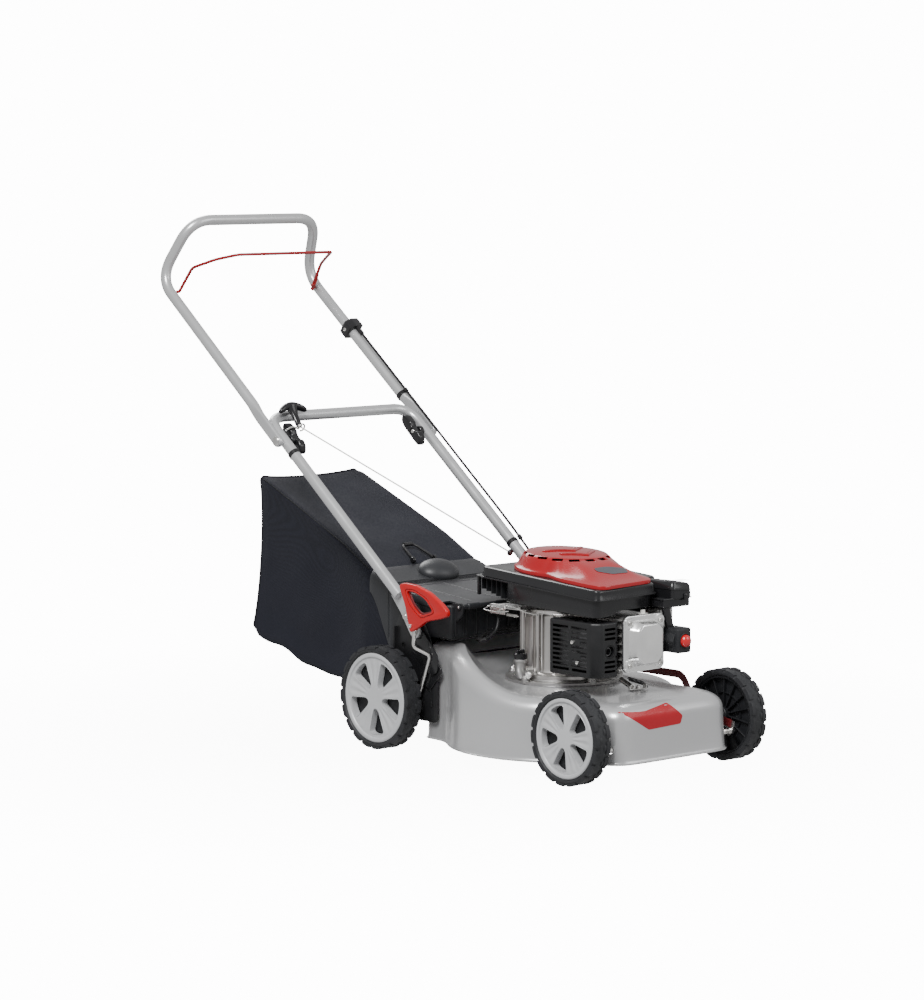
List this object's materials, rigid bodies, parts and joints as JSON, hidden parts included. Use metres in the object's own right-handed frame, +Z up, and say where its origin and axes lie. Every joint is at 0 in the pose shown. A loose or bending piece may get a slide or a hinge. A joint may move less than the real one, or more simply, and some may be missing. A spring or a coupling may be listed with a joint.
{
  "type": "push lawn mower",
  "caption": "Push petrol rotary lawn mower: pressed steel deck on height-adjustable wheels, top-mounted engine, folding tube handle with brake bail, rear flap and soft grass bag.",
  "frame": {"origin": "centre of the footprint on the ground under the overall box", "axes": "+Z up, +Y rearwards towards the push handle, +X to the operator's left"},
  "size_m": [0.448, 1.3201, 1.016],
  "materials": {
    "deck_paint": "glossy silver-grey paint",
    "handle_paint": "satin silver-grey paint",
    "red_paint": "gloss red paint",
    "red_plastic": "glossy red moulding",
    "black_plastic": "semi-gloss black moulding",
    "dark_plastic": "matt dark grey moulding",
    "wheel_plastic": "light grey moulding",
    "tyre_rubber": "matt black tyre",
    "cast_aluminium": "sand-cast aluminium",
    "bright_steel": "zinc plated steel",
    "dark_steel": "plain dark steel",
    "black_metal": "heat-proof black paint",
    "bag_fabric": "woven black-blue fabric",
    "rope": "braided white rope",
    "rubber": "black rubber sheath",
    "foam": "open foam",
    "porcelain": "white glazed insulator"
  },
  "bodies": {
    "root": {"air_filter_element": "foam", "blower_housing": "black_plastic", "brake_cable_bend": "rubber", "brake_cable_lower": "rubber", "carburettor": "cast_aluminium", "crankcase": "cast_aluminium", "cylinder_head": "cast_aluminium", "deck": "deck_paint", "discharge_chute": "dark_plastic", "fan_cover": "red_plastic", "flap_rod": "bright_steel", "fold_bolt_left": "bright_steel", "fold_bolt_right": "bright_steel", "fuel_tank": "black_plastic", "handle_bracket_left": "deck_paint", "handle_bracket_right": "deck_paint", "height_sector": "dark_steel", "lower_handle": "handle_paint", "muffler": "black_metal", "muffler_guard": "black_metal", "primer_housing": "dark_plastic", "rocker_cover": "bright_steel", "rope_guide": "bright_steel", "spark_plug": "porcelain", "starter_rope": "rope", "sump": "cast_aluminium"},
    "rear_wheel_frame": {"rear_axle": "bright_steel", "height_lever": "bright_steel", "height_grip": "red_plastic"},
    "front_wheel_frame": {"front_axle": "bright_steel"},
    "height_link": {"link_strap": "red_paint"},
    "front_left_wheel": {"wheel_front_left": "wheel_plastic", "tyre_front_left": "tyre_rubber"},
    "front_right_wheel": {"wheel_front_right": "wheel_plastic", "tyre_front_right": "tyre_rubber"},
    "rear_left_wheel": {"wheel_rear_left": "wheel_plastic", "tyre_rear_left": "tyre_rubber"},
    "rear_right_wheel": {"wheel_rear_right": "wheel_plastic", "tyre_rear_right": "tyre_rubber"},
    "crank": {"crankshaft": "dark_steel", "flywheel": "cast_aluminium", "blade_adapter": "cast_aluminium", "blade": "dark_steel", "blade_bolt": "bright_steel"},
    "starter_wheel": {"starter_pulley": "black_plastic"},
    "starter_handle": {"starter_grip": "black_plastic"},
    "folding_handle": {"upper_handle": "handle_paint", "cable_anchor": "black_plastic", "brake_cable_upper": "rubber"},
    "brake_bail": {"bail": "red_paint"},
    "engine_brake": {"brake_arm": "bright_steel"},
    "left_quick_lever": {"quick_lever_left": "black_plastic"},
    "right_quick_lever": {"quick_lever_right": "black_plastic"},
    "flap": {"rear_flap": "dark_plastic"},
    "bag": {"grass_bag": "bag_fabric"},
    "bag_grip": {"bag_handle": "bright_steel"},
    "filler_cap": {"fuel_cap": "black_plastic"},
    "oil_plug": {"dipstick": "black_plastic"},
    "filter_lid": {"air_filter_cover": "black_plastic"},
    "primer": {"primer_bulb": "red_plastic"}
  },
  "joints": [
    {"name": "height_adjust", "type": "hinge", "parent": "root", "child": "rear_wheel_frame", "pos_m": [0, -0.1084, 0.0765], "axis": [-1, 0, 0], "range_deg": [0, 38.27]},
    {"name": "front_height", "type": "hinge", "parent": "root", "child": "front_wheel_frame", "pos_m": [0, -0.6167, 0.064], "axis": [-1, 0, 0], "range_deg": [0, 56.15]},
    {"name": "height_link_slide", "type": "slide", "parent": "root", "child": "height_link", "axis": [0, 1, 0], "range_m": [0, 0.0164]},
    {"name": "rear_left_spin", "type": "hinge", "parent": "rear_wheel_frame", "child": "rear_left_wheel", "pos_m": [0.2, -0.0414, 0.1], "axis": [1, 0, 0], "continuous": true},
    {"name": "rear_right_spin", "type": "hinge", "parent": "rear_wheel_frame", "child": "rear_right_wheel", "pos_m": [-0.2, -0.0414, 0.1], "axis": [1, 0, 0], "continuous": true},
    {"name": "front_left_spin", "type": "hinge", "parent": "front_wheel_frame", "child": "front_left_wheel", "pos_m": [0.2, -0.5726, 0.0875], "axis": [1, 0, 0], "continuous": true},
    {"name": "front_right_spin", "type": "hinge", "parent": "front_wheel_frame", "child": "front_right_wheel", "pos_m": [-0.2, -0.5726, 0.0875], "axis": [1, 0, 0], "continuous": true},
    {"name": "crank_spin", "type": "hinge", "parent": "root", "child": "crank", "pos_m": [0, -0.34, 0.1], "axis": [0, 0, 1], "continuous": true},
    {"name": "starter_pull", "type": "slide", "parent": "root", "child": "starter_handle", "axis": [0, 0.5591, 0.8291], "range_m": [0, 0.3], "stiffness_N_per_m": 20, "springref_m": -0.05},
    {"name": "starter_pulley_spin", "type": "hinge", "parent": "root", "child": "starter_wheel", "pos_m": [0, -0.34, 0.34], "axis": [0, 0, 1], "range_deg": [0, 343.77]},
    {"name": "handle_fold", "type": "hinge", "parent": "root", "child": "folding_handle", "pos_m": [0, 0.271, 0.5752], "axis": [1, 0, 0], "range_deg": [0, 131.78], "deforming": ["brake_cable_bend"]},
    {"name": "bail_squeeze", "type": "hinge", "parent": "folding_handle", "child": "brake_bail", "pos_m": [0, 0.623, 0.859], "axis": [-1, 0, 0], "range_deg": [0, 41.25], "stiffness_Nm_per_rad": 1.5, "springref_deg": -20.05},
    {"name": "brake_release", "type": "hinge", "parent": "root", "child": "engine_brake", "pos_m": [-0.1, -0.277, 0.286], "axis": [0, 0, 1], "range_deg": [0, 20.63]},
    {"name": "left_quick_release", "type": "hinge", "parent": "root", "child": "left_quick_lever", "pos_m": [0.16, 0.271, 0.5752], "axis": [-1, 0, 0], "range_deg": [0, 80]},
    {"name": "right_quick_release", "type": "hinge", "parent": "root", "child": "right_quick_lever", "pos_m": [-0.16, 0.271, 0.5752], "axis": [-1, 0, 0], "range_deg": [0, 80]},
    {"name": "flap_lift", "type": "hinge", "parent": "root", "child": "flap", "pos_m": [0, -0.2085, 0.2861], "axis": [1, 0, 0], "range_deg": [0, 34], "stiffness_Nm_per_rad": 1, "springref_deg": -34.38},
    {"name": "bag_draw", "type": "slide", "parent": "root", "child": "bag", "axis": [0, 1, 0], "range_m": [0, 0.3]},
    {"name": "bag_handle_swing", "type": "hinge", "parent": "bag", "child": "bag_grip", "pos_m": [0, 0.065, 0.3436], "axis": [1, 0, 0], "range_deg": [0, 70]},
    {"name": "fuel_cap_turn", "type": "hinge", "parent": "root", "child": "filler_cap", "pos_m": [0.085, -0.245, 0.37], "axis": [0, 0, 1], "range_deg": [0, 90]},
    {"name": "oil_plug_turn", "type": "hinge", "parent": "root", "child": "oil_plug", "pos_m": [-0.109, -0.336, 0.2], "axis": [0, 0, 1], "range_deg": [0, 180]},
    {"name": "filter_lid_hinge", "type": "hinge", "parent": "root", "child": "filter_lid", "pos_m": [0.1175, -0.527, 0.3183], "axis": [0, 1, 0], "range_deg": [0, 80]},
    {"name": "primer_press", "type": "slide", "parent": "root", "child": "primer", "axis": [0, 1, 0], "range_m": [0, 0.005], "stiffness_N_per_m": 300, "springref_m": -0.002}
  ],
  "couplings": [
    {"joint": "front_height", "follows": "height_adjust", "ratio": 1.4645},
    {"joint": "height_link_slide", "follows": "height_adjust", "m_per_rad": 0.0244},
    {"joint": "starter_pulley_spin", "follows": "starter_pull", "rad_per_m": 20},
    {"joint": "brake_release", "follows": "bail_squeeze", "ratio": 0.5}
  ]
}
